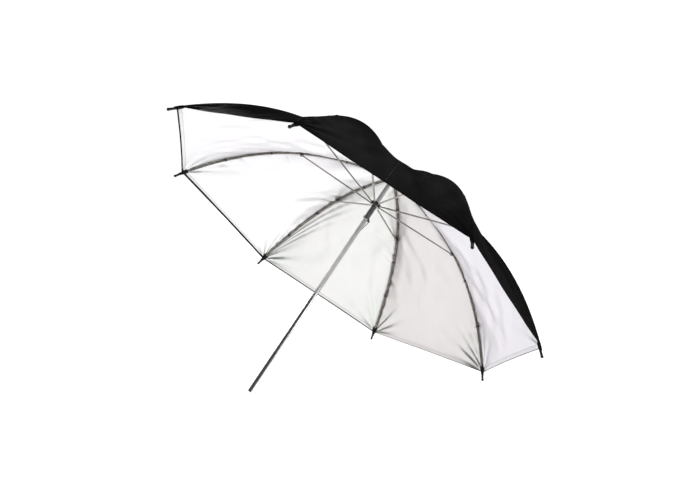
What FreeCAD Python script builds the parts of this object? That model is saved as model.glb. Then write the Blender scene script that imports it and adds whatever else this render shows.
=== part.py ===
import FreeCAD, Part
import math
import os

# ---------------------------------------------------------------- driving dimensions, mm
N = 8                    # ribs and gores
TILT = 38.0              # lean of the shaft from vertical when the open umbrella lies down, degrees (set again below)
SHAFT_R = 4.0            # steel tube, 8 mm outside diameter
SHAFT_WALL = 1.0
Z_CROWN = 449.0          # crown pivot plane above the shaft's free end
SHAFT_TOP = Z_CROWN + 7.0
OPEN_GAP = 60.0          # crown pivot plane to runner pivot plane when open
Z_RUN = Z_CROWN - OPEN_GAP
PIVOT_R = 7.5            # radius of both pivot circles
R_TIP = 365.0            # corner radius of the open canopy
DEPTH = 165.0            # crown pivot plane to rim plane
C1, C2, C3 = 0.021, 0.342, 0.637   # rib profile, depth = DEPTH*(C1 u + C2 u^2 + C3 u^3)
SAG = 0.05 * R_TIP       # how far a panel's middle is pulled in between two ribs
CLAMP_LEN = 150.0        # free stretch of shaft a stand's holder clamps

RIB_W, RIB_H = 3.5, 2.4  # folded steel channel
RIB_GROOVE_W = 1.9
NECK_T = 1.8             # flattened ends of ribs and stretchers
WIRE_R = 0.5             # ring wires that the ends hang on
EYE_R = 0.59
JOINT_R, JOINT_D = 180.0, OPEN_GAP / 2.0   # where a stretcher meets its rib
STR_W, STR_H = 2.4, 2.0
RIVET_R = 0.8
TIP_R, TIP_L, TIP_BALL = 2.1, 14.5, 2.6

CROWN_R = 9.0
CROWN_UP, CROWN_DOWN = 3.6, 3.0
SLOT_W = 2.4
CAP_WASHER_R = 14.0
SLEEVE_IN, SLEEVE_OUT = 4.05, 4.8
SLEEVE_BELOW = 31.0      # runner pivots to the sleeve's lower edge
CATCH_AZ = 45.0
CLOTH_LIFT = 2.4         # rib centreline to the cloth's inner face
CLOTH_T = 0.6
CLOTH_R0 = 10.0          # centre hole of the canopy
CLOTH_R1 = 361.0         # corner of the panel solids, just short of the tip ferrule

V = FreeCAD.Vector


def fr(u):
    return PIVOT_R + u * (R_TIP - PIVOT_R)


def fu(r):
    return (r - PIVOT_R) / (R_TIP - PIVOT_R)


def depth(u):
    return DEPTH * (C1 * u + C2 * u * u + C3 * u ** 3)


def slope(u):
    return DEPTH * (C1 + 2 * C2 * u + 3 * C3 * u * u) / (R_TIP - PIVOT_R)


def rib_point(r, off=0.0):
    """A point of the rib's plane (radius, height), off mm outside its centreline."""
    u = fu(r)
    s = slope(u)
    n = math.hypot(1.0, s)
    return (r + off * s / n, Z_CROWN - depth(u) + off / n)


def spline(points):
    c = Part.BSplineCurve()
    c.interpolate([V(*p) for p in points])
    return c.toShape()


def band(hi, lo, r0, r1, width, n=11):
    """A strip along the rib between two offsets, as wide as width, in the plane y = 0."""
    rs = [r0 + (r1 - r0) * i / (n - 1) for i in range(n)]
    up = [(rib_point(r, hi)[0], 0, rib_point(r, hi)[1]) for r in rs]
    dn = [(rib_point(r, lo)[0], 0, rib_point(r, lo)[1]) for r in rs]
    w = Part.Wire([spline(up), Part.makeLine(V(*up[-1]), V(*dn[-1])),
                   spline(dn[::-1]), Part.makeLine(V(*dn[0]), V(*up[0]))])
    f = Part.Face(w)
    s = f.extrude(V(0, width, 0))
    s.translate(V(0, -width / 2.0, 0))
    return s


def cyl_y(r, width, x, z):
    return Part.makeCylinder(r, width, V(x, -width / 2.0, z), V(0, 1, 0))


def box(x0, x1, y0, y1, z0, z1):
    return Part.makeBox(x1 - x0, y1 - y0, z1 - z0, V(x0, y0, z0))


def tube(r1, r0, z0, z1):
    s = Part.makeCylinder(r1, z1 - z0, V(0, 0, z0))
    return s.cut(Part.makeCylinder(r0, z1 - z0, V(0, 0, z0))) if r0 > 0 else s


def about_z(shape, az):
    s = shape.copy()
    s.rotate(V(0, 0, 0), V(0, 0, 1), az)
    return s


def azimuth(k):
    """Azimuth of rib k (1..8). Ribs 5 and 4 are the lowest pair when the umbrella lies down."""
    return 247.5 - 45.0 * (k - 1)


def end_frame():
    """Where the rib ends: its end point and outward tangent in the rib's plane."""
    s = slope(1.0)
    n = math.hypot(1.0, s)
    p = rib_point(R_TIP)
    return p, (1.0 / n, -s / n)


# ---------------------------------------------------------------- how the open umbrella lies: shaft end and two tips on one plane
def lying_tilt():
    (px, pz), (tx, tz) = end_frame()
    bx, bz = px + tx * TIP_L, pz + tz * TIP_L
    yl = bx * math.sin(math.radians(67.5))
    lo, hi = 20.0, 60.0
    for _ in range(60):
        t = (lo + hi) / 2.0
        c, s = math.cos(math.radians(t)), math.sin(math.radians(t))
        tip = -yl * s + bz * c - TIP_BALL
        end = -SHAFT_R * s
        if tip > end:
            lo = t
        else:
            hi = t
    return (lo + hi) / 2.0


TILT = round(lying_tilt(), 3)

shapes = {}

# ---------------------------------------------------------------- shaft
shaft = tube(SHAFT_R, SHAFT_R - SHAFT_WALL, 0.0, SHAFT_TOP)
# shallow ring that marks how deep the shaft goes into a stand's holder
shaft = shaft.cut(tube(SHAFT_R + 1.0, SHAFT_R - 0.2, CLAMP_LEN, CLAMP_LEN + 1.5))
z_catch = Z_RUN - SLEEVE_BELOW - 0.3      # top of the spring catch, just under the sleeve
slot = about_z(box(0.0, SHAFT_R + 1.0, -0.85, 0.85, z_catch - 25.6, z_catch + 1.5), CATCH_AZ)
shaft = shaft.cut(slot)
pin_r, pin_z = 2.55, z_catch - 22.6
pin = cyl_y(0.5, 5.0, pin_r, pin_z)
shaft = shaft.cut(about_z(pin, CATCH_AZ))
shapes["shaft"] = shaft
shapes["catch_pin"] = about_z(pin, CATCH_AZ)

poly = [(1.9, z_catch - 24.0), (3.9, z_catch - 24.0), (8.4, z_catch - 1.6), (8.4, z_catch), (1.9, z_catch)]
pts = [V(x, 0, z) for x, z in poly]
leaf = Part.Face(Part.makePolygon(pts + [pts[0]])).extrude(V(0, 1.2, 0))
leaf.translate(V(0, -0.6, 0))
leaf = leaf.cut(cyl_y(0.55, 3.0, pin_r, pin_z))
# lightening cut-out that leaves a bent leaf
inner = [V(x, 0, z) for x, z in [(3.1, z_catch - 19.0), (3.9, z_catch - 19.0), (6.9, z_catch - 3.2), (3.1, z_catch - 3.2)]]
hole = Part.Face(Part.makePolygon(inner + [inner[0]])).extrude(V(0, 3.0, 0))
hole.translate(V(0, -1.5, 0))
shapes["catch_spring"] = about_z(leaf.cut(hole), CATCH_AZ)

plug = Part.makeCylinder(SHAFT_R - SHAFT_WALL, 10.0, V(0, 0, 0))
plug = plug.cut(Part.makeSphere(6.0, V(0, 0, -5.4)))
shapes["shaft_end_plug"] = plug

# ---------------------------------------------------------------- crown and cap
crown = tube(CROWN_R, SHAFT_R, Z_CROWN - CROWN_DOWN, Z_CROWN + CROWN_UP)
for k in range(1, N + 1):
    crown = crown.cut(about_z(box(5.4, 12.0, -SLOT_W / 2, SLOT_W / 2, Z_CROWN - 10, Z_CROWN + 10), azimuth(k)))
crown = crown.cut(tube(PIVOT_R + 0.6, PIVOT_R - 0.6, Z_CROWN - 0.6, Z_CROWN + 10))
shapes["crown"] = crown
shapes["crown_wire"] = Part.makeTorus(PIVOT_R, WIRE_R, V(0, 0, Z_CROWN))
z_w = Z_CROWN + CROWN_UP
shapes["cap_washer"] = tube(CAP_WASHER_R, SHAFT_R, z_w, z_w + 1.0)
dome_r = (7.6 ** 2 + 3.4 ** 2) / (2 * 3.4)
cap = Part.makeCylinder(7.6, 7.0, V(0, 0, z_w + 1.0)).common(Part.makeSphere(dome_r, V(0, 0, z_w + 7.6 - dome_r)))
shapes["top_cap"] = cap.cut(Part.makeCylinder(SHAFT_R, SHAFT_TOP - z_w - 1.0, V(0, 0, z_w + 1.0)))

# ---------------------------------------------------------------- runner
sleeve = tube(SLEEVE_OUT, SLEEVE_IN, Z_RUN - SLEEVE_BELOW, Z_RUN + 5.0)
sleeve = sleeve.fuse(tube(6.2, SLEEVE_IN, Z_RUN - SLEEVE_BELOW, Z_RUN - SLEEVE_BELOW + 2.0)).removeSplitter()
shapes["runner_sleeve"] = sleeve
ring = tube(CROWN_R, SLEEVE_OUT, Z_RUN - 3.0, Z_RUN + 3.6)
for k in range(1, N + 1):
    ring = ring.cut(about_z(box(5.8, 12.0, -SLOT_W / 2, SLOT_W / 2, Z_RUN - 10, Z_RUN + 10), azimuth(k)))
ring = ring.cut(tube(PIVOT_R + 0.6, PIVOT_R - 0.6, Z_RUN - 10, Z_RUN + 0.6))
shapes["runner_ring"] = ring
shapes["runner_wire"] = Part.makeTorus(PIVOT_R, WIRE_R, V(0, 0, Z_RUN))
shapes["runner_retainer"] = tube(8.6, SLEEVE_OUT, Z_RUN - 4.0, Z_RUN - 3.0)

# ---------------------------------------------------------------- one rib, its tip, its joint bracket and its stretcher, in the plane y = 0
(ex, ez), (tx, tz) = end_frame()
rib = band(RIB_H / 2, -RIB_H / 2, 16.5, R_TIP, RIB_W)
rib = rib.cut(band(0.5, -RIB_H, 19.0, 356.0, RIB_GROOVE_W))
neck = band(1.1, -1.1, PIVOT_R, 18.0, NECK_T, n=4).fuse(cyl_y(1.35, NECK_T, PIVOT_R, Z_CROWN))
rib = rib.fuse(neck)
tang = Part.makeCylinder(0.9, 7.0, V(ex - tx, 0, ez - tz), V(tx, 0, tz))
rib = rib.fuse(tang)
rib = rib.cut(cyl_y(EYE_R, 4.0, PIVOT_R, Z_CROWN))
# frame at the stretcher joint
sj = slope(fu(JOINT_R))
nj = math.hypot(1.0, sj)
tj, nn = (1.0 / nj, -sj / nj), (sj / nj, 1.0 / nj)
px, pz = JOINT_R, Z_CROWN - JOINT_D
lift = (rib_point(JOINT_R)[1] - pz) / nj * 1.0     # joint pin to rib centreline, along the normal
rx, rz = px + nn[0] * lift, pz + nn[1] * lift
rib = rib.cut(cyl_y(0.6, 6.0, rx, rz))
rib = rib.removeSplitter()

tip = Part.makeCylinder(TIP_R, TIP_L, V(ex, 0, ez), V(tx, 0, tz))
tip = tip.fuse(Part.makeSphere(TIP_BALL, V(ex + tx * TIP_L, 0, ez + tz * TIP_L)))
tip = tip.cut(Part.makeCylinder(0.9, 6.0, V(ex, 0, ez), V(tx, 0, tz)))
tip = tip.cut(cyl_y(0.5, 8.0, ex + tx * 9.0, ez + tz * 9.0)).removeSplitter()


def local(t, n, y):
    return V(px + tj[0] * t + nn[0] * n, y, pz + tj[1] * t + nn[1] * n)


def ear(y0, y1):
    c = [(-2.6, -1.0), (-1.4, -2.0), (1.4, -2.0), (2.6, -1.0), (4.0, lift - 1.0), (4.0, lift + 0.4), (-4.0, lift + 0.4), (-4.0, lift - 1.0)]
    p = [local(t, n, y0) for t, n in c]
    return Part.Face(Part.makePolygon(p + [p[0]])).extrude(V(0, y1 - y0, 0))


bracket = ear(RIB_W / 2, RIB_W / 2 + 0.8).fuse(ear(-RIB_W / 2 - 0.8, -RIB_W / 2))
bracket = bracket.fuse(cyl_y(RIVET_R, RIB_W + 2.4, px, pz)).fuse(cyl_y(0.6, RIB_W + 2.2, rx, rz)).removeSplitter()

qx, qz = PIVOT_R, Z_RUN
L2 = math.hypot(px - qx, pz - qz)
ang = math.degrees(math.atan2(pz - qz, px - qx))
st = box(8.0, L2 - 0.6, -STR_W / 2, STR_W / 2, -STR_H / 2, STR_H / 2)
st = st.fuse(box(0.0, 9.0, -NECK_T / 2, NECK_T / 2, -1.0, 1.0)).fuse(cyl_y(1.3, NECK_T, 0, 0))
st = st.fuse(cyl_y(1.6, 2.8, L2, 0))
# pressed groove along the stretcher's upper face
st = st.cut(box(14.0, L2 - 12.0, -0.6, 0.6, STR_H / 2 - 0.5, STR_H))
st = st.cut(cyl_y(EYE_R, 4.0, 0, 0)).cut(cyl_y(RIVET_R + 0.05, 6.0, L2, 0)).removeSplitter()
st.rotate(V(0, 0, 0), V(0, 1, 0), -ang)
st.translate(V(qx, 0, qz))

for k in range(1, N + 1):
    a = azimuth(k)
    shapes["rib_%d" % k] = about_z(rib, a)
    shapes["rib_tip_%d" % k] = about_z(tip, a)
    shapes["rib_joint_%d" % k] = about_z(bracket, a)
    shapes["stretcher_%d" % k] = about_z(st, a)

# ---------------------------------------------------------------- canopy, each gore sewn from two half panels that meet on its middle line
HALF = math.pi / N


def cloth_point(u, v, off):
    """Point of the gore between azimuth 0 and 45 at rib fraction u and cross fraction v (0 to 1), off mm outside the rib centreline surface."""
    r = CLOTH_R0 + (CLOTH_R1 - CLOTH_R0) * u
    uu = fu(r)
    s = slope(uu)
    n = math.hypot(1.0, s)
    rr = r + off * s / n
    zz = Z_CROWN - depth(uu) + off / n
    a, b = 0.0, 2 * HALF
    x = rr * ((1 - v) * math.cos(a) + v * math.cos(b))
    y = rr * ((1 - v) * math.sin(a) + v * math.sin(b))
    d = SAG * math.sin(math.pi * uu) * 4 * v * (1 - v)
    return (x - d * s / n * math.cos(HALF), y - d * s / n * math.sin(HALF), zz - d / n)


def section(v, shift):
    """Closed wire across the cloth's thickness at cross fraction v, moved shift mm along the hem."""
    us = [i / 9.0 for i in range(10)]
    dx, dy = -math.sin(HALF) * shift, math.cos(HALF) * shift
    lo = [(p[0] + dx, p[1] + dy, p[2]) for p in (cloth_point(u, v, CLOTH_LIFT) for u in us)]
    hi = [(p[0] + dx, p[1] + dy, p[2]) for p in (cloth_point(u, v, CLOTH_LIFT + CLOTH_T) for u in us)]
    return Part.Wire([spline(lo), Part.makeLine(V(*lo[-1]), V(*hi[-1])), spline(hi[::-1]), Part.makeLine(V(*hi[0]), V(*lo[0]))])


half = Part.makeLoft([section(0.0, 0.22), section(0.25, 0.0), section(0.5, -0.2)], True, True)
mirror = half.mirror(V(0, 0, 0), V(-math.sin(HALF), math.cos(HALF), 0))
for k in range(1, N + 1):
    # gore k lies between rib k and rib k + 1; its first half hangs on rib k + 1, at the lower azimuth
    a = azimuth(k)
    nxt = k % N + 1
    shapes["panel_%d_b" % k] = about_z(half, a - 45.0)       # half on rib k+1
    shapes["panel_%d_a" % k] = about_z(mirror, a - 45.0)     # half on rib k

for name, s in shapes.items():
    s = s.copy()
    s.rotate(V(0, 0, 0), V(1, 0, 0), -TILT)
    if s.ShapeType == "Compound" and len(s.Solids) == 1:
        s = s.Solids[0]
    if s.Volume < 0:
        s.reverse()
    s.exportStep("parts/%s.step" % name)
print("tilt", TILT, "nodes", len(shapes))
for name in ("shaft", "crown", "rib_1", "rib_tip_1", "rib_joint_1", "stretcher_1", "panel_1_a", "panel_1_b", "catch_spring", "top_cap", "runner_ring", "runner_sleeve"):
    s = shapes[name]
    print(name, s.isValid(), len(s.Solids), round(s.Volume, 1), s.ShapeType)
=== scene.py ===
import math

import bpy
import numpy as np
from mathutils import Matrix, Vector


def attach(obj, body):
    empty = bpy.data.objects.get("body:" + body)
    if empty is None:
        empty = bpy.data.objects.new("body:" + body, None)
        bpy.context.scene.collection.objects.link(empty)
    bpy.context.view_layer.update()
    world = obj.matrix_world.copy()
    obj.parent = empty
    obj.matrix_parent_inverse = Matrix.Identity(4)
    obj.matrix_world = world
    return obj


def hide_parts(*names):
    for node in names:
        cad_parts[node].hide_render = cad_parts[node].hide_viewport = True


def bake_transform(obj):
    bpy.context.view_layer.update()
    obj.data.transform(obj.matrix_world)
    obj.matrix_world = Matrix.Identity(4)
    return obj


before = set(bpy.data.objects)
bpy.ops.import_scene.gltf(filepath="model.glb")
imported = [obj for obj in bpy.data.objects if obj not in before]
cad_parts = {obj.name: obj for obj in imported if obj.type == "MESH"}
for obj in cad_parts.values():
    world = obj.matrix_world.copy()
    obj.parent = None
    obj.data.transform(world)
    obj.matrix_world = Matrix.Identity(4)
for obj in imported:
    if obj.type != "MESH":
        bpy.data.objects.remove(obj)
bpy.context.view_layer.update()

# ---------------------------------------------------------------- the frame's own numbers, mm
TILT = 38.26
ZC, R, A, H = 449.0, 365.0, 7.5, 165.0
ZR = 389.0
HALF = math.pi / 8
JR, JZ = 180.0, 419.0
ct, stl = math.cos(math.radians(TILT)), math.sin(math.radians(TILT))
ROT = np.array([[1, 0, 0], [0, ct, stl], [0, -stl, ct]])     # local (shaft along +z) to row frame
FLOOR = -4.0 * stl / 1000.0


def row(p):
    """Local millimetres to row-frame metres."""
    return (np.asarray(p, float) @ ROT.T) / 1000.0


def azimuth(k):
    return math.radians(247.5 - 45.0 * (k - 1))


def depth(u):
    return H * (0.021 * u + 0.342 * u ** 2 + 0.637 * u ** 3)


def slope(u):
    return H * (0.021 + 0.684 * u + 1.911 * u ** 2) / (R - A)


# ---------------------------------------------------------------- materials
def new_material(name, color, rough, metal=0.0, **more):
    m = bpy.data.materials.new(name)
    m.use_nodes = True
    m.diffuse_color = (*color, 1)
    b = m.node_tree.nodes["Principled BSDF"]
    b.inputs["Base Color"].default_value = (*color, 1)
    b.inputs["Roughness"].default_value = rough
    b.inputs["Metallic"].default_value = metal
    for k, v in more.items():
        b.inputs[k].default_value = v
    return m, m.node_tree, b


def node(nt, kind, **vals):
    n = nt.nodes.new(kind)
    for k, v in vals.items():
        if k in n.inputs:
            n.inputs[k].default_value = v
        else:
            setattr(n, k, v)
    return n


def ramp(nt, fac, stops):
    r = nt.nodes.new("ShaderNodeValToRGB")
    els = r.color_ramp.elements
    while len(els) < len(stops):
        els.new(0.5)
    for e, (pos, col) in zip(els, stops):
        e.position = pos
        e.color = (*col, 1) if len(col) == 3 else col
    nt.links.new(fac, r.inputs["Fac"])
    return r


def uv_math(nt, uvname):
    u = nt.nodes.new("ShaderNodeUVMap")
    u.uv_map = uvname
    s = nt.nodes.new("ShaderNodeSeparateXYZ")
    nt.links.new(u.outputs["UV"], s.inputs[0])
    return u, s


def op(nt, kind, a, b=None, c=None):
    m = nt.nodes.new("ShaderNodeMath")
    m.operation = kind
    for i, v in enumerate((a, b, c)):
        if v is None:
            continue
        if isinstance(v, (int, float)):
            m.inputs[i].default_value = v
        else:
            nt.links.new(v, m.inputs[i])
    return m.outputs[0]


def weave(nt, s, pitch):
    """Plain weave height, 0 to 1, from a cloth UV in metres."""
    fx = op(nt, "SINE", op(nt, "MULTIPLY", s.outputs[0], 2 * math.pi / pitch))
    fy = op(nt, "SINE", op(nt, "MULTIPLY", s.outputs[1], 2 * math.pi / pitch))
    return op(nt, "MULTIPLY_ADD", op(nt, "MULTIPLY", fx, fy), 0.5, 0.5)


def silver_cloth(name, panel_light):
    # panel_light scales this silver's colour: painted light, one brightness and tint per panel
    m, nt, b = new_material(name, tuple(0.62 * c for c in panel_light), 0.32, 0.9)
    b.inputs["Sheen Weight"].default_value = 0.05
    b.inputs["Sheen Roughness"].default_value = 0.45
    b.inputs["Anisotropic"].default_value = 0.35
    u, s = uv_math(nt, "cloth")
    e, se = uv_math(nt, "edge")
    # slow tint changes of the metallised coating
    mp = node(nt, "ShaderNodeMapping")
    mp.inputs["Scale"].default_value = (9.0, 4.0, 1.0)
    nt.links.new(u.outputs["UV"], mp.inputs["Vector"])
    n1 = node(nt, "ShaderNodeTexNoise", Scale=1.0, Detail=3.0, Roughness=0.55)
    nt.links.new(mp.outputs[0], n1.inputs["Vector"])
    # the random coating tint times panel_light, the painted-light brightness and tint of this panel
    tint = ramp(nt, n1.outputs["Fac"], [(p, tuple(a * c for a, c in zip(col, panel_light))) for p, col in ((0.30, (0.59, 0.605, 0.59)), (0.50, (0.635, 0.63, 0.635)), (0.70, (0.64, 0.62, 0.625)))])
    # rib seam allowance and hem turn-in show a little darker, with a row of stitches
    near = op(nt, "MINIMUM", se.outputs[0], op(nt, "ABSOLUTE", se.outputs[1]))
    line = op(nt, "SMOOTH_MIN", op(nt, "ABSOLUTE", op(nt, "SUBTRACT", near, 0.0052)), 1.0, 0.0)
    on = op(nt, "LESS_THAN", line, 0.00045)
    dash = op(nt, "GREATER_THAN", op(nt, "SINE", op(nt, "MULTIPLY", op(nt, "ADD", s.outputs[0], s.outputs[1]), 2 * math.pi / 0.0034)), -0.35)
    stitch = op(nt, "MULTIPLY", on, dash)
    allowance = op(nt, "LESS_THAN", near, 0.0055)
    mix1 = node(nt, "ShaderNodeMix", data_type="RGBA")
    mix1.blend_type = "MULTIPLY"
    nt.links.new(op(nt, "MULTIPLY", allowance, 0.55), mix1.inputs["Factor"])
    nt.links.new(tint.outputs[0], mix1.inputs[6])
    mix1.inputs[7].default_value = (0.80, 0.79, 0.78, 1)
    mix2 = node(nt, "ShaderNodeMix", data_type="RGBA")
    nt.links.new(op(nt, "MULTIPLY", stitch, 0.75), mix2.inputs["Factor"])
    nt.links.new(mix1.outputs[2], mix2.inputs[6])
    mix2.inputs[7].default_value = (0.42, 0.42, 0.43, 1)
    nt.links.new(mix2.outputs[2], b.inputs["Base Color"])
    # fine crumple of coated cloth, and its weave
    mp2 = node(nt, "ShaderNodeMapping")
    mp2.inputs["Scale"].default_value = (60.0, 22.0, 1.0)
    nt.links.new(u.outputs["UV"], mp2.inputs["Vector"])
    n2 = node(nt, "ShaderNodeTexNoise", Scale=1.0, Detail=4.0, Roughness=0.6)
    nt.links.new(mp2.outputs[0], n2.inputs["Vector"])
    rr = op(nt, "MULTIPLY_ADD", n2.outputs["Fac"], 0.12, 0.30)
    nt.links.new(rr, b.inputs["Roughness"])
    b1 = node(nt, "ShaderNodeBump", Strength=0.35, Distance=0.0014)
    nt.links.new(n2.outputs["Fac"], b1.inputs["Height"])
    b2 = node(nt, "ShaderNodeBump", Strength=0.25, Distance=0.00012)
    nt.links.new(weave(nt, s, 0.0007), b2.inputs["Height"])
    nt.links.new(b1.outputs[0], b2.inputs["Normal"])
    b3 = node(nt, "ShaderNodeBump", Strength=0.6, Distance=0.0004)
    nt.links.new(stitch, b3.inputs["Height"])
    nt.links.new(b2.outputs[0], b3.inputs["Normal"])
    nt.links.new(b3.outputs[0], b.inputs["Normal"])
    return m


def black_cloth():
    m, nt, b = new_material("black_nylon_cloth", (0.0012, 0.0012, 0.0013), 0.5)
    b.inputs["Sheen Weight"].default_value = 0.0
    b.inputs["Sheen Roughness"].default_value = 0.3
    b.inputs["Specular IOR Level"].default_value = 0.003
    u, s = uv_math(nt, "cloth")
    e, se = uv_math(nt, "edge")
    near = op(nt, "MINIMUM", se.outputs[0], op(nt, "ABSOLUTE", se.outputs[1]))
    on = op(nt, "LESS_THAN", op(nt, "ABSOLUTE", op(nt, "SUBTRACT", near, 0.0052)), 0.0004)
    dash = op(nt, "GREATER_THAN", op(nt, "SINE", op(nt, "MULTIPLY", op(nt, "ADD", s.outputs[0], s.outputs[1]), 2 * math.pi / 0.0034)), -0.35)
    stitch = op(nt, "MULTIPLY", on, dash)
    mp = node(nt, "ShaderNodeMapping")
    mp.inputs["Scale"].default_value = (45.0, 14.0, 1.0)
    nt.links.new(u.outputs["UV"], mp.inputs["Vector"])
    n1 = node(nt, "ShaderNodeTexNoise", Scale=1.0, Detail=4.0, Roughness=0.6)
    nt.links.new(mp.outputs[0], n1.inputs["Vector"])
    col = ramp(nt, n1.outputs["Fac"], [(0.3, (0.0125, 0.0125, 0.0126)), (0.7, (0.0190, 0.0190, 0.0188))])
    mix2 = node(nt, "ShaderNodeMix", data_type="RGBA")
    nt.links.new(stitch, mix2.inputs["Factor"])
    nt.links.new(col.outputs[0], mix2.inputs[6])
    mix2.inputs[7].default_value = (0.028, 0.028, 0.0285, 1)
    nt.links.new(mix2.outputs[2], b.inputs["Base Color"])
    nt.links.new(op(nt, "MULTIPLY_ADD", n1.outputs["Fac"], 0.16, 0.34), b.inputs["Roughness"])
    b1 = node(nt, "ShaderNodeBump", Strength=0.35, Distance=0.0012)
    nt.links.new(n1.outputs["Fac"], b1.inputs["Height"])
    b2 = node(nt, "ShaderNodeBump", Strength=0.3, Distance=0.00015)
    nt.links.new(weave(nt, s, 0.0008), b2.inputs["Height"])
    nt.links.new(b1.outputs[0], b2.inputs["Normal"])
    b3 = node(nt, "ShaderNodeBump", Strength=0.6, Distance=0.0004)
    nt.links.new(stitch, b3.inputs["Height"])
    nt.links.new(b2.outputs[0], b3.inputs["Normal"])
    nt.links.new(b3.outputs[0], b.inputs["Normal"])
    return m


def object_noise(nt, scale, detail=3.0, stretch=(1, 1, 1)):
    tc = nt.nodes.new("ShaderNodeTexCoord")
    mp = nt.nodes.new("ShaderNodeMapping")
    mp.inputs["Scale"].default_value = stretch
    nt.links.new(tc.outputs["Object"], mp.inputs["Vector"])
    n = node(nt, "ShaderNodeTexNoise", Scale=scale, Detail=detail)
    nt.links.new(mp.outputs[0], n.inputs["Vector"])
    return n.outputs["Fac"]


def metal(name, lo, hi, r0, r1, scale, bump=0.0, metallic=1.0):
    m, nt, b = new_material(name, hi, r0, metallic)
    f = object_noise(nt, scale, 5.0)
    c = ramp(nt, f, [(0.32, lo), (0.68, hi)])
    nt.links.new(c.outputs[0], b.inputs["Base Color"])
    nt.links.new(op(nt, "MULTIPLY_ADD", f, r1 - r0, r0), b.inputs["Roughness"])
    if bump:
        bb = node(nt, "ShaderNodeBump", Strength=0.5, Distance=bump)
        nt.links.new(object_noise(nt, scale * 6, 3.0), bb.inputs["Height"])
        nt.links.new(bb.outputs[0], b.inputs["Normal"])
    return m


def plastic(name, lo, hi, rough):
    m, nt, b = new_material(name, hi, rough, 0.0)
    f = object_noise(nt, 220.0, 4.0)
    c = ramp(nt, f, [(0.3, lo), (0.7, hi)])
    nt.links.new(c.outputs[0], b.inputs["Base Color"])
    nt.links.new(op(nt, "MULTIPLY_ADD", f, 0.16, rough - 0.08), b.inputs["Roughness"])
    bb = node(nt, "ShaderNodeBump", Strength=0.4, Distance=0.00012)
    nt.links.new(object_noise(nt, 900.0, 2.0), bb.inputs["Height"])
    nt.links.new(bb.outputs[0], b.inputs["Normal"])
    return m


# painted light: each gore's silver is made lighter or darker and tinted, panel by panel, standing in for the light and
# shade that falls on that panel
PANEL_LIGHT_TINTS = {"white": (1.20, 1.19, 1.21), "green": (1.04, 1.047, 1.025), "warm": (0.95, 0.92, 0.91), "lilac": (1.04, 1.02, 1.07), "plain": (1.05, 1.05, 1.05)}
SILVER = {k: silver_cloth("silver_satin_" + k, v) for k, v in PANEL_LIGHT_TINTS.items()}
GORE_PANEL_LIGHT = {1: "white", 2: "white", 3: "green", 4: "warm", 5: "lilac", 6: "lilac", 7: "plain", 8: "plain"}
BLACK = black_cloth()
CHROME = metal("chrome_tube", (0.54, 0.54, 0.535), (0.68, 0.68, 0.675), 0.12, 0.22, 60.0)
SLEEVE = metal("runner_tube_steel", (0.12, 0.12, 0.122), (0.19, 0.19, 0.192), 0.2, 0.3, 80.0)
RIBMAT = metal("rib_steel", (0.11, 0.098, 0.086), (0.36, 0.33, 0.30), 0.34, 0.52, 140.0, 0.0001, 0.85)
STAY = metal("stretcher_steel", (0.24, 0.225, 0.205), (0.40, 0.375, 0.345), 0.30, 0.46, 90.0, 0.0001, 0.9)
WIRE = metal("plated_wire", (0.35, 0.34, 0.33), (0.50, 0.49, 0.48), 0.25, 0.4, 120.0)
RIVET = metal("blackened_rivet", (0.05, 0.048, 0.045), (0.12, 0.115, 0.11), 0.35, 0.5, 150.0, 0.0001, 0.8)
PLASTIC = plastic("black_moulding", (0.010, 0.010, 0.0105), (0.022, 0.022, 0.023), 0.42)
TIPMAT = plastic("tip_moulding", (0.008, 0.008, 0.0085), (0.018, 0.018, 0.019), 0.48)
THREAD = plastic("black_thread", (0.012, 0.012, 0.012), (0.03, 0.03, 0.03), 0.75)

by_node = {"shaft": CHROME, "shaft_end_plug": PLASTIC, "catch_pin": WIRE, "catch_spring": RIVET, "crown": PLASTIC, "crown_wire": WIRE,
           "cap_washer": PLASTIC, "top_cap": PLASTIC, "runner_sleeve": SLEEVE, "runner_ring": PLASTIC, "runner_wire": WIRE, "runner_retainer": WIRE}
for k in range(1, 9):
    by_node["rib_%d" % k] = RIBMAT
    by_node["rib_tip_%d" % k] = TIPMAT
    by_node["rib_joint_%d" % k] = RIVET
    by_node["stretcher_%d" % k] = STAY
for name, m in by_node.items():
    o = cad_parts[name]
    o.data.materials.clear()
    o.data.materials.append(m)


# ---------------------------------------------------------------- canopy
def fourier(seed, count, kx, ky):
    """Smooth seeded noise field about -1..1 as a function of (x, y) in mm; kx and ky give the wavelength range."""
    g = np.random.RandomState(seed)
    wx = 2 * math.pi / g.uniform(*kx, count) * g.choice([-1, 1], count)
    wy = 2 * math.pi / g.uniform(*ky, count) * g.choice([-1, 1], count)
    ph = g.uniform(0, 2 * math.pi, count)
    am = g.uniform(0.5, 1.0, count)
    am /= np.sqrt((am ** 2).sum() / 2)

    def f(x, y):
        out = 0
        for i in range(count):
            out = out + am[i] * np.sin(wx[i] * x + wy[i] * y + ph[i])
        return out * 0.5
    return f


# how strongly each corner's cloth is gathered, ribs 1..8
CORNER = {1: 0.8, 2: 1.3, 3: 1.3, 4: 1.5, 5: 1.6, 6: 0.9, 7: 0.9, 8: 0.9}
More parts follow.
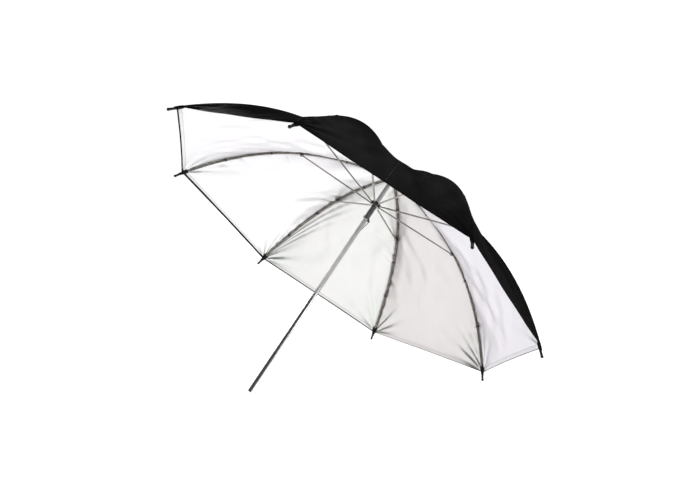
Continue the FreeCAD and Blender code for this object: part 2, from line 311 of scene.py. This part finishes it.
# (rib, side, angle from the rib, depth mm, half width, reach mm): long folds that run from a tip beside its rib
LONG = [(3, -1, 0.050, 3.4, 0.018, 190.0), (3, -1, 0.105, 3.0, 0.020, 150.0), (3, -1, 0.175, 2.0, 0.030, 120.0), (3, 1, 0.12, 1.8, 0.05, 60.0), (3, 1, 0.26, 1.6, 0.06, 50.0),
        (2, -1, 0.16, 3.6, 0.060, 62.0), (2, -1, 0.34, 2.0, 0.080, 50.0), (2, 1, 0.13, 2.0, 0.06, 50.0), (2, 1, 0.30, 1.6, 0.07, 40.0),
        (4, -1, 0.46, 9.0, 0.085, 26.0), (4, -1, 0.88, 9.0, 0.115, 26.0), (4, 1, 0.16, 2.6, 0.05, 70.0), (4, 1, 0.33, 2.4, 0.06, 62.0), (4, 1, 0.52, 1.8, 0.07, 50.0),
        (5, 1, 0.26, 9.0, 0.080, 30.0), (5, 1, 0.92, 9.0, 0.110, 28.0), (5, 1, 0.55, 2.6, 0.07, 34.0), (5, -1, 0.35, 2.2, 0.08, 30.0)]
# (rib, side, distance from the tip mm, depth mm, half width mm, reach mm, slant): short creases that cross from a rib
CROSS = [(2, -1, 112.0, 3.0, 6.5, 22.0, -0.35), (2, -1, 124.0, 1.6, 4.0, 14.0, -0.2), (2, -1, 150.0, 1.6, 4.0, 12.0, 0.0), (2, -1, 170.0, 1.4, 3.5, 12.0, 0.0),
         (2, -1, 201.0, 1.8, 3.0, 16.0, 0.0), (2, -1, 70.0, 2.2, 8.0, 26.0, -0.5), (4, 1, 165.0, 2.0, 5.0, 20.0, -0.6), (4, 1, 185.0, 2.4, 6.0, 30.0, -0.9),
         (3, 1, 215.0, 2.2, 6.0, 26.0, 0.5), (3, 1, 245.0, 2.0, 6.0, 30.0, 0.6), (4, -1, 120.0, 1.3, 6.0, 20.0, 0.4), (5, -1, 90.0, 1.4, 6.0, 22.0, 0.3),
         (5, 1, 75.0, 1.6, 6.0, 20.0, 0.3), (6, 1, 120.0, 1.4, 6.0, 22.0, 0.3), (1, -1, 140.0, 1.2, 6.0, 20.0, 0.2), (7, 1, 130.0, 1.4, 6.0, 20.0, 0.3), (8, -1, 110.0, 1.4, 6.0, 20.0, -0.3)]
_cache = {}


def gore_fields(i):
    if i not in _cache:
        _cache[i] = (fourier(100 + i, 7, (55, 120), (120, 320)), fourier(200 + i, 9, (26, 50), (60, 160)),
                     np.random.RandomState(300 + i).uniform(0, 2 * math.pi, 12))
    return _cache[i]


ARC = np.concatenate([[0], np.cumsum(np.hypot(np.diff(A + np.linspace(0, 1, 401) * (R - A)), np.diff(depth(np.linspace(0, 1, 401)))))])


def gore(i, u, v):
    """Mid-surface point, local mm, of gore i (between rib i+1 at v=0 and rib i at v=1)."""
    lo = azimuth(i) - 2 * HALF
    r = 9.5 + (R + 0.6 - 9.5) * u
    uu = (r - A) / (R - A)
    s = slope(uu)
    n = np.sqrt(1 + s * s)
    OFF = 2.7
    rr = r + OFF * s / n
    zz = ZC - depth(uu) + OFF / n
    am = lo + HALF
    x = rr * ((1 - v) * math.cos(lo) + v * math.cos(lo + 2 * HALF))
    y = rr * ((1 - v) * math.sin(lo) + v * math.sin(lo + 2 * HALF))
    # saddle between the ribs
    q = 4 * v * (1 - v)
    sag = 0.05 * R * np.sin(np.pi * np.clip(uu, 0, 1)) * q
    # a shallow inward bow of the hem under its own tension
    hem = 2.2 * q * np.clip((u - 0.7) / 0.3, 0, 1) ** 2
    # cloth coordinates: X across from the middle line, Y along from the crown
    W = 2 * rr * math.sin(HALF)
    X = (v - 0.5) * W
    L = np.interp(uu, np.linspace(0, 1, 401), ARC)
    Lt = ARC[-1]
    f1, f2, ph = gore_fields(i)
    edge = np.clip(4 * v * (1 - v) * 1.6, 0, 1)
    mid = np.clip(u * 3.0, 0, 1)
    calm = 1 - np.clip((u - 0.72) / 0.26, 0, 1) ** 1.5
    d = (2.3 * f1(X, L) * mid + 1.0 * f2(X, L) * mid) * edge * calm
    # fans of small folds from the two corners, and the long folds
    for side, kk in ((1, i % 8 + 1), (-1, i)):
        a = X + W / 2 if side > 0 else W / 2 - X              # distance from that rib
        b = np.maximum(Lt - L, 0.0)
        rho = np.hypot(a, b) + 1e-6
        th = np.arctan2(a, b)                                  # 0 along the rib, about 1.2 at the hem
        g = CORNER[kk]
        gate = np.clip(a / 5.0, 0, 1) * (1 - np.exp(-(rho / 14.0) ** 2))
        fan = np.sin(th * 9.0 + ph[0 + (side < 0)] + 0.8 * np.sin(th * 4 + ph[2])) + 0.45 * np.sin(th * 14.0 + ph[3 + (side < 0)])
        d = d + 1.15 * g * fan * np.exp(-rho / 46.0) * gate
        for (rk, sd, t0, dep, wd, reach) in LONG:
            if rk == kk and ((sd > 0 and side > 0 and kk == i % 8 + 1) or (sd < 0 and side < 0 and kk == i)):
                fold = np.exp(-((th - t0) / wd) ** 2) - 0.5 * np.exp(-((th - t0 - 1.6 * wd) / (wd * 1.1)) ** 2)
                deep = dep * np.exp(-rho / reach)
                wide = 0.9 * wd * rho + 0.05                  # a fold is never deeper than it is wide
                d = d + deep * wide / (deep + wide) * fold * (1 - np.exp(-rho / 8.0)) * np.clip(a / 2.5, 0, 1)
        for (rk, sd, b0, dep, wd, reach, slant) in CROSS:
            if rk == kk and ((sd > 0 and side > 0 and kk == i % 8 + 1) or (sd < 0 and side < 0 and kk == i)):
                q1 = (b - b0 + slant * a) / wd
                d = d + dep * (np.exp(-q1 ** 2) - 0.5 * np.exp(-(q1 - 1.7) ** 2)) * np.exp(-(a / reach) ** 2) * np.clip(a / 3.0, 0, 1)
        # puckers across the rib seam
        pk = np.sin(L * 2 * math.pi / 23.0 + ph[5 + (side < 0)] + 1.5 * np.sin(L / 31.0 + ph[7])) * np.clip(np.sin(L / 47.0 + ph[8 + (side < 0)]) + 0.35, 0, 1)
        d = d + 0.55 * g * pk * np.exp(-a / 11.0) * np.clip(a / 2.5, 0, 1) * mid
    # the hem's own small waves
    d = d + 0.25 * np.sin(X / 17.0 + ph[10]) * np.clip((u - 0.9) / 0.1, 0, 1) * edge
    ex = math.cos(am)
    ey = math.sin(am)
    hn = -hem
    px = x + (d - sag) * s / n * ex + hn * ex
    py = y + (d - sag) * s / n * ey + hn * ey
    pz = zz + (d - sag) / n
    return np.stack([px, py, pz], -1), X, L, (R + 0.6 - r) , W


def normals_of(P):
    du = np.gradient(P, axis=0)
    dv = np.gradient(P, axis=1)
    n = np.cross(du, dv)
    n /= np.linalg.norm(n, axis=-1, keepdims=True) + 1e-12
    return n


BL_E, BL_PSI, BL_OFF, BL_TILT = 120.0, math.radians(8.0), 0.0, 0.1


def blend_direction(i, side):
    """Unit direction, local frame, from the rib into half gore i, along which the cloth goes over from rib to panel."""
    k, sg = (i, -1) if side == "a" else (i % 8 + 1, 1)
    p = azimuth(k) + sg * BL_PSI
    n = np.array([-sg * math.sin(p), sg * math.cos(p), BL_TILT])
    return n / np.linalg.norm(n)


NU, NV = 144, 60
HEM = {1: 2.6, 2: 3.0, 3: 2.6, 4: 1.7, 5: 0.9, 6: 1.4, 7: 2.2, 8: 2.2}     # how far the black turn-in shows inside, mm
THICK = 0.45


def half_panel(i, side):
    """Half of gore i. side 'b' hangs on rib i+1 (v 0 to 0.5), side 'a' on rib i (v 1 to 0.5)."""
    tt = np.linspace(0, 1, NU)
    u = 1 - (1 - tt) ** 1.25
    u = u / u[-1]
    w = np.linspace(0, 1, NV) ** 1.35 * 0.5
    full = np.concatenate([w, 1 - w[::-1][1:]])
    U, Vv = np.meshgrid(u, full, indexing="ij")
    P, X, L, hemd, W = gore(i, U, Vv)
    N = normals_of(P)
    if N[NU // 2, NV // 2, 2] < 0:
        N = -N
    # at a rib the two gores meet: the normal there lies in the rib's plane
    for col, k in ((0, i % 8 + 1), (-1, i)):
        a = azimuth(k)
        t = np.array([-math.sin(a), math.cos(a), 0.0])
        n = N[:, col] - (N[:, col] @ t)[:, None] * t
        N[:, col] = n / np.linalg.norm(n, axis=-1, keepdims=True)
    sel = slice(0, NV) if side == "b" else slice(len(full) - NV, len(full))
    P, N, X, L, hemd, W = P[:, sel], N[:, sel], X[:, sel], L[:, sel], hemd[:, sel], W[:, sel]
    rib_d = (W / 2 - np.abs(X))
    # both layers bend alike: the step between them has no part along the direction in which the cloth's motion changes
    nb = blend_direction(i, side)
    step = N - (N @ nb)[..., None] * nb
    step /= (step * N).sum(-1, keepdims=True)
    lo, hi = P - step * THICK / 2, P + step * THICK / 2
    nv = P.shape[1]
    verts = np.concatenate([lo.reshape(-1, 3), hi.reshape(-1, 3), lo[-1], hi[-1], lo[0], hi[0]])
    rimn = np.cross(np.gradient(P[-1], axis=0), N[-1])
    rimn /= np.linalg.norm(rimn, axis=-1, keepdims=True)
    if (rimn * (P[-1] - P[-2])).sum() < 0:
        rimn = -rimn
    topn = -rimn
    norms = np.concatenate([-N.reshape(-1, 3), N.reshape(-1, 3), rimn, rimn, topn, topn])
    uvc = np.stack([X, L], -1) / 1000.0
    uve = np.stack([np.maximum(hemd, 0), rib_d], -1) / 1000.0
    uvc = np.concatenate([uvc.reshape(-1, 2), uvc.reshape(-1, 2), uvc[-1], uvc[-1], uvc[0], uvc[0]])
    uve = np.concatenate([uve.reshape(-1, 2), uve.reshape(-1, 2), uve[-1], uve[-1], uve[0], uve[0]])
    n0 = NU * nv
    idx = np.arange(n0).reshape(NU, nv)
    a, b, c, d = idx[:-1, :-1].ravel(), idx[1:, :-1].ravel(), idx[1:, 1:].ravel(), idx[:-1, 1:].ravel()
    q = np.stack([a, b, c, d], -1)
    # orientation: faces of the outer layer point along N
    e1, e2 = verts[q[len(q) // 2, 1]] - verts[q[len(q) // 2, 0]], verts[q[len(q) // 2, 3]] - verts[q[len(q) // 2, 0]]
    up = np.dot(np.cross(e1, e2), N.reshape(-1, 3)[q[len(q) // 2, 0]]) > 0
    outer = (q if up else q[:, ::-1]) + n0
    inner = (q[:, ::-1] if up else q)
    j = np.arange(nv - 1)
    rim = np.stack([2 * n0 + j, 2 * n0 + j + 1, 2 * n0 + nv + j + 1, 2 * n0 + nv + j], -1)
    top = np.stack([2 * n0 + 2 * nv + j, 2 * n0 + 2 * nv + j + 1, 2 * n0 + 3 * nv + j + 1, 2 * n0 + 3 * nv + j], -1)
    if up:
        rim = rim[:, ::-1]
    else:
        top = top[:, ::-1]
    faces = np.concatenate([inner, outer, rim, top])
    mat = np.concatenate([np.zeros(len(inner), int), np.ones(len(outer), int), np.ones(len(rim), int), np.ones(len(top), int)])
    # the turned hem shows as a narrow black edge on the inside
    hem_face = hemd.reshape(-1)[q[:, 0]] < HEM[i]
    mat[:len(inner)][hem_face] = 1
    name = "cloth_%d_%s" % (i, side)
    me = bpy.data.meshes.new(name)
    me.from_pydata(row(verts).tolist(), [], faces.tolist())
    me.materials.append(SILVER[GORE_PANEL_LIGHT[i]])
    me.materials.append(BLACK)
    me.polygons.foreach_set("material_index", mat.astype(np.int32))
    me.polygons.foreach_set("use_smooth", np.ones(len(faces), bool))
    loops = np.empty(len(me.loops), np.int32)
    me.loops.foreach_get("vertex_index", loops)
    for nm, data in (("cloth", uvc), ("edge", uve)):
        layer = me.uv_layers.new(name=nm)
        layer.uv.foreach_set("vector", data[loops].astype(np.float32).ravel())
    me.update()
    nr = norms @ ROT.T
    me.normals_split_custom_set_from_vertices(nr.tolist())
    o = bpy.data.objects.new(name, me)
    bpy.context.scene.collection.objects.link(o)
    # flat area of this half: rib arc by half hem
    area = 0.0
    for lay in (P,):
        e1 = lay[1:, :-1] - lay[:-1, :-1]
        e2 = lay[:-1, 1:] - lay[:-1, :-1]
        e3 = lay[1:, 1:] - lay[:-1, 1:]
        e4 = lay[1:, 1:] - lay[1:, :-1]
        area += (np.linalg.norm(np.cross(e1, e2), axis=-1) + np.linalg.norm(np.cross(e3, e4), axis=-1)).sum() / 2
    return o, area / 1e6


areas = []
for i in range(1, 9):
    for side in "ab":
        o, area = half_panel(i, side)
        areas.append(area)
        k = i if side == "a" else i % 8 + 1
        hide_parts("panel_%d_%s" % (i, side))
        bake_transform(o)
print("cloth areas", round(min(areas), 5), round(max(areas), 5))


# ---------------------------------------------------------------- small cloth work on each rib: ties, corner pocket
def mesh_object(name, verts, faces, mat, smooth=True):
    me = bpy.data.meshes.new(name)
    me.from_pydata(row(verts).tolist(), [], [list(map(int, f)) for f in faces])
    me.materials.append(mat)
    me.polygons.foreach_set("use_smooth", np.full(len(me.polygons), smooth))
    me.update()
    o = bpy.data.objects.new(name, me)
    bpy.context.scene.collection.objects.link(o)
    return o


def sweep(path, rad, nseg=10, closed=False):
    """Tube of radius rad (a number or one per point) along a path, with its ends closed."""
    path = np.asarray(path, float)
    n = len(path)
    rad = np.full(n, rad) if np.isscalar(rad) else np.asarray(rad)
    tan = np.gradient(path, axis=0) if not closed else (np.roll(path, -1, 0) - np.roll(path, 1, 0))
    tan /= np.linalg.norm(tan, axis=1)[:, None]
    ref = np.array([0.3, 0.5, 0.81])
    vs = []
    prev = None
    for i in range(n):
        a = prev if prev is not None else ref
        a = a - tan[i] * (a @ tan[i])
        a /= np.linalg.norm(a)
        prev = a
        b = np.cross(tan[i], a)
        ang = np.arange(nseg) * 2 * math.pi / nseg
        vs.append(path[i] + rad[i] * (np.cos(ang)[:, None] * a + np.sin(ang)[:, None] * b))
    vs = np.concatenate(vs)
    fs = []
    for i in range(n if closed else n - 1):
        for j in range(nseg):
            a, b = i * nseg + j, i * nseg + (j + 1) % nseg
            c, d = ((i + 1) % n) * nseg + (j + 1) % nseg, ((i + 1) % n) * nseg + j
            fs.append((a, b, c, d))
    if not closed:
        fs.append(tuple(range(nseg))[::-1])
        fs.append(tuple(range((n - 1) * nseg, n * nseg)))
    return vs, fs


def rib_frame(r, k):
    """Point on rib k's centreline at radius r, with its outward tangent, normal and sideways directions."""
    a = azimuth(k)
    e, t = np.array([math.cos(a), math.sin(a), 0]), np.array([-math.sin(a), math.cos(a), 0])
    u = (r - A) / (R - A)
    s = slope(u)
    n = math.hypot(1, s)
    p = e * r + np.array([0, 0, ZC - depth(u)])
    tang = (e - np.array([0, 0, s])) / n
    norm = (e * s + np.array([0, 0, 1])) / n
    return p, tang, norm, t


for k in range(1, 9):
    # thread ties round the rib
    for j, r in enumerate((96.0, 236.0, 306.0)):
        p, tg, nm, sd = rib_frame(r + 3 * math.sin(k * 2.1 + j), k)
        vs_all, fs_all = [], []
        for turn in range(3):
            off = tg * (turn - 1) * 0.75
            ang = np.linspace(0, 2 * math.pi, 21)[:-1]
            loop = [p + off + tg * 0.35 * math.sin(a) + sd * 2.25 * np.sign(math.cos(a)) * abs(math.cos(a)) ** 0.5 +
                    nm * (0.35 + 1.95 * np.sign(math.sin(a)) * abs(math.sin(a)) ** 0.5) for a in ang]
            v, f = sweep(loop, 0.42, 8, closed=True)
            fs_all += [tuple(x + sum(len(q) for q in vs_all) for x in ff) for ff in f]
            vs_all.append(v)
        # knot and two short ends on the inner side
        kn = p - nm * 1.9
        v, f = sweep([kn - sd * 1.4, kn - nm * 0.7 - sd * 0.4, kn - nm * 0.7 + sd * 0.4, kn + sd * 1.4], [0.3, 0.8, 0.8, 0.3], 8)
        fs_all += [tuple(x + sum(len(q) for q in vs_all) for x in ff) for ff in f]
        vs_all.append(v)
        v, f = sweep([kn - nm * 0.6, kn - nm * 1.7 + sd * 1.2, kn - nm * 2.2 + sd * (2.6 + 0.5 * j) + tg * 1.2], 0.28, 7)
        fs_all += [tuple(x + sum(len(q) for q in vs_all) for x in ff) for ff in f]
        vs_all.append(v)
        o = mesh_object("tie_%d_%d" % (k, j + 1), np.concatenate(vs_all), fs_all, THREAD)
        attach(o, "rib_%d" % k)
    # the folded corner pocket that the tip's ferrule is sewn to
    p, tg, nm, sd = rib_frame(R, k)
    g = np.random.RandomState(40 + k)
    rings = []
    prof = [(-12.5, 3.4, 1.3, 0.3), (-11.0, 4.6, 2.3, 0.1), (-8.5, 4.9, 2.8, -0.1), (-5.0, 4.5, 2.9, -0.2), (-1.5, 3.8, 2.9, -0.2), (1.5, 3.1, 2.75, -0.1), (3.8, 2.7, 2.55, 0.0), (4.6, 2.35, 2.3, 0.0)]
    nseg = 28
    for (s, wx, wn, sh) in prof:
        ang = np.arange(nseg) * 2 * math.pi / nseg
        wr = 1 + 0.05 * np.sin(5 * ang + k) + 0.035 * np.sin(9 * ang + 2 * k + s) + 0.02 * g.uniform(-1, 1, nseg)
        rings.append(p + tg * s + nm * (0.55 + sh) + (np.cos(ang) * wx * wr)[:, None] * sd + (np.sin(ang) * wn * wr)[:, None] * nm)
    vs = np.concatenate(rings)
    m = len(prof)
    fs = [(i * nseg + j, i * nseg + (j + 1) % nseg, (i + 1) * nseg + (j + 1) % nseg, (i + 1) * nseg + j) for i in range(m - 1) for j in range(nseg)]
    o = mesh_object("corner_pocket_%d" % k, vs, fs, BLACK)
    me = o.data
    for nm_ in ("cloth", "edge"):
        lay = me.uv_layers.new(name=nm_)
        co = np.array([me.vertices[l.vertex_index].co[:2] for l in me.loops], np.float32)
        lay.uv.foreach_set("vector", (co if nm_ == "cloth" else co * 0 + 0.02).ravel())
    md = o.modifiers.new("sub", "SUBSURF")
    md.levels = md.render_levels = 1
    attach(o, "rib_%d" % k)
    # whip stitches from the pocket through the ferrule's eye
    q = p + tg * 9.0
    path = [q + sd * 2.0 + nm * 0.0, q + sd * 2.6 - tg * 1.0 + nm * 0.6, q - tg * 4.0 + sd * 2.7 + nm * 1.0, q - tg * 6.5 + sd * 2.9 + nm * 1.2,
            q - tg * 6.5 - sd * 2.9 + nm * 1.2, q - tg * 4.0 - sd * 2.7 + nm * 1.0, q - sd * 2.6 - tg * 1.0 + nm * 0.6, q - sd * 2.0]
    v, f = sweep(path, 0.3, 7)
    o = mesh_object("tip_thread_%d" % k, v, f, THREAD)
    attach(o, "rib_%d" % k)

# ---------------------------------------------------------------- set
floor_m, nt, b = new_material("pale_floor", (0.93, 0.93, 0.93), 0.9)
nn = object_noise(nt, 3.0, 2.0)
c = ramp(nt, nn, [(0.3, (0.925, 0.925, 0.925)), (0.7, (0.935, 0.935, 0.935))])
nt.links.new(c.outputs[0], b.inputs["Base Color"])
# the floor glows as a light source: a pool of emission under the object, fading out from 0.55 m to 1.3 m, lights the
# canopy from below, and camera rays see the floor at 0.95 or more
b.inputs["Emission Color"].default_value = (1, 1, 1, 1)
tc = nt.nodes.new("ShaderNodeTexCoord")
far = nt.nodes.new("ShaderNodeVectorMath")
far.operation = "DISTANCE"
nt.links.new(tc.outputs["Object"], far.inputs[0])
far.inputs[1].default_value = (0.0, 0.2, FLOOR)
pool = nt.nodes.new("ShaderNodeMapRange")
pool.interpolation_type = "SMOOTHSTEP"
pool.inputs["From Min"].default_value = 1.3
pool.inputs["From Max"].default_value = 0.55
pool.inputs["To Min"].default_value = 0.05
pool.inputs["To Max"].default_value = 1.12
nt.links.new(far.outputs["Value"], pool.inputs["Value"])
lpf = nt.nodes.new("ShaderNodeLightPath")
nt.links.new(op(nt, "MAXIMUM", pool.outputs["Result"], op(nt, "MULTIPLY", lpf.outputs["Is Camera Ray"], 0.95)), b.inputs["Emission Strength"])
me = bpy.data.meshes.new("floor")
S = 60.0
me.from_pydata([(-S, -S, FLOOR), (S, -S, FLOOR), (S, S, FLOOR), (-S, S, FLOOR)], [], [(0, 1, 2, 3)])
me.materials.append(floor_m)
floor = bpy.data.objects.new("floor", me)
bpy.context.scene.collection.objects.link(floor)

world = bpy.data.worlds.new("studio")
bpy.context.scene.world = world
world.use_nodes = True
wt = world.node_tree
bg = wt.nodes["Background"]
bg.inputs["Color"].default_value = (1, 1, 1, 1)
lp = wt.nodes.new("ShaderNodeLightPath")
mr = wt.nodes.new("ShaderNodeMapRange")
mr.inputs["To Min"].default_value = 0.10
mr.inputs["To Max"].default_value = 1.15
wt.links.new(lp.outputs["Is Camera Ray"], mr.inputs["Value"])
wt.links.new(mr.outputs["Result"], bg.inputs["Strength"])


def area_light(name, loc, target, size, power, color=(1, 1, 1)):
    l = bpy.data.lights.new(name, "AREA")
    l.shape = "RECTANGLE"
    l.size, l.size_y = size
    l.energy = power
    l.color = color
    o = bpy.data.objects.new(name, l)
    o.location = loc
    o.rotation_euler = (Vector(target) - Vector(loc)).to_track_quat("-Z", "Y").to_euler()
    bpy.context.scene.collection.objects.link(o)
    return o


cam_loc = Vector((0.95931, -0.81938, 0.44826))
right = Vector((0.706465, 0.697293, 0.121201))
up = Vector((-0.196577, 0.028811, 0.980065))
back = Vector((0.679901, -0.716207, 0.157425))
centre = Vector((0.0, 0.28, 0.25))
area_light("key", tuple(centre + right * 1.6 + back * 1.3 - up * 0.1), tuple(centre), (0.45, 0.45), 5)
area_light("side", tuple(centre - right * 2.0 + back * 0.8 - up * 0.12), tuple(centre), (0.4, 0.4), 0.8)
area_light("rim", tuple(centre + right * 0.7 - back * 1.2 + up * 1.7), tuple(centre), (0.8, 0.5), 9)
area_light("rear", tuple(centre - right * 1.1 - back * 1.9 + up * 0.8), tuple(centre), (1.0, 0.8), 16)

cam = bpy.data.cameras.new("camera")
cam.lens = 42.05
cam.sensor_width = 36.0
cam_o = bpy.data.objects.new("camera", cam)
bpy.context.scene.collection.objects.link(cam_o)
m = Matrix((right, up, back)).transposed().to_4x4()
m.translation = cam_loc
cam_o.matrix_world = m
bpy.context.scene.camera = cam_o
bpy.context.scene.view_settings.view_transform = "Standard"
